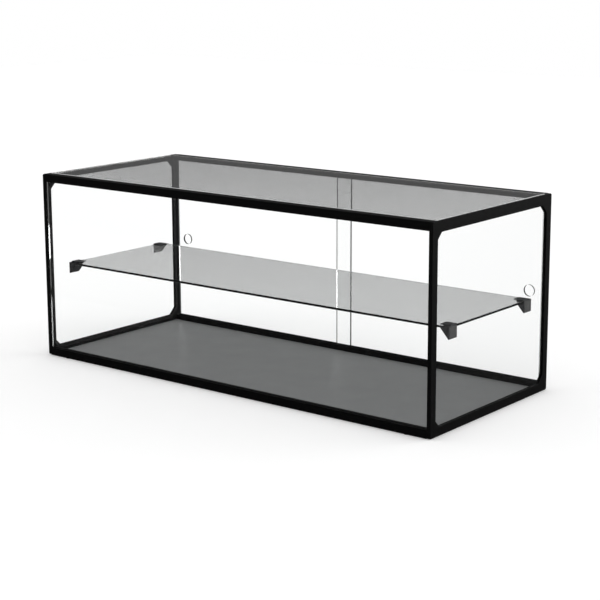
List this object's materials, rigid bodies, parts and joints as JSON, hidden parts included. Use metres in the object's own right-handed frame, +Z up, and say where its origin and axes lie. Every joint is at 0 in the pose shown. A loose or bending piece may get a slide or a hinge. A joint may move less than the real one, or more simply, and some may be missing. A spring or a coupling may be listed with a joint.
{
  "type": "countertop bread display case",
  "caption": "Low countertop display case glazed on the front, top and ends, with a clipped glass shelf and glass doors sliding along the rear",
  "frame": {"origin": "centre of the footprint, on the surface that the four foot pads stand on", "axes": "+X to the right seen from the front, +Y to the rear where the doors are, +Z up"},
  "size_m": [0.85, 0.356, 0.34],
  "materials": {
    "powder_coat": "fine satin black powder coat",
    "black_rubber": "matt black rubber",
    "clip_plastic": "matt dark grey moulded plastic",
    "glide_plastic": "smooth black strip",
    "floor_sheet": "smooth grey paint with a soft sheen",
    "light_silicone": "translucent light silicone",
    "clear_glass": "clear float glass with polished edges",
    "grey_tape": "matt grey foam tape"
  },
  "bodies": {
    "cabinet": {"side_frame_left": "powder_coat", "side_frame_right": "powder_coat", "side_pane_left": "clear_glass", "side_pane_right": "clear_glass", "pane_bead_left": "black_rubber", "pane_bead_right": "black_rubber", "front_top_rail": "powder_coat", "front_bottom_rail": "powder_coat", "rear_top_rail": "powder_coat", "rear_bottom_rail": "powder_coat", "floor_panel": "floor_sheet", "front_glass": "clear_glass", "front_seal_top": "black_rubber", "front_seal_bottom": "black_rubber", "top_glass": "clear_glass", "top_joint": "black_rubber", "top_bedding": "light_silicone", "shelf_glass": "clear_glass", "clip_front_left": "clip_plastic", "clip_front_right": "clip_plastic", "clip_rear_left": "clip_plastic", "clip_rear_right": "clip_plastic", "clip_tapes": "grey_tape", "glide_front": "glide_plastic", "glide_rear": "glide_plastic", "door_stops": "black_rubber", "foot_pads": "black_rubber"},
    "left_door": {"door_left": "clear_glass"},
    "right_door": {"door_right": "clear_glass"}
  },
  "joints": [
    {"name": "left_door_slide", "type": "slide", "parent": "cabinet", "child": "left_door", "axis": [1, 0, 0], "range_m": [0, 0.4007]},
    {"name": "right_door_slide", "type": "slide", "parent": "cabinet", "child": "right_door", "axis": [-1, 0, 0], "range_m": [0, 0.4007]}
  ]
}
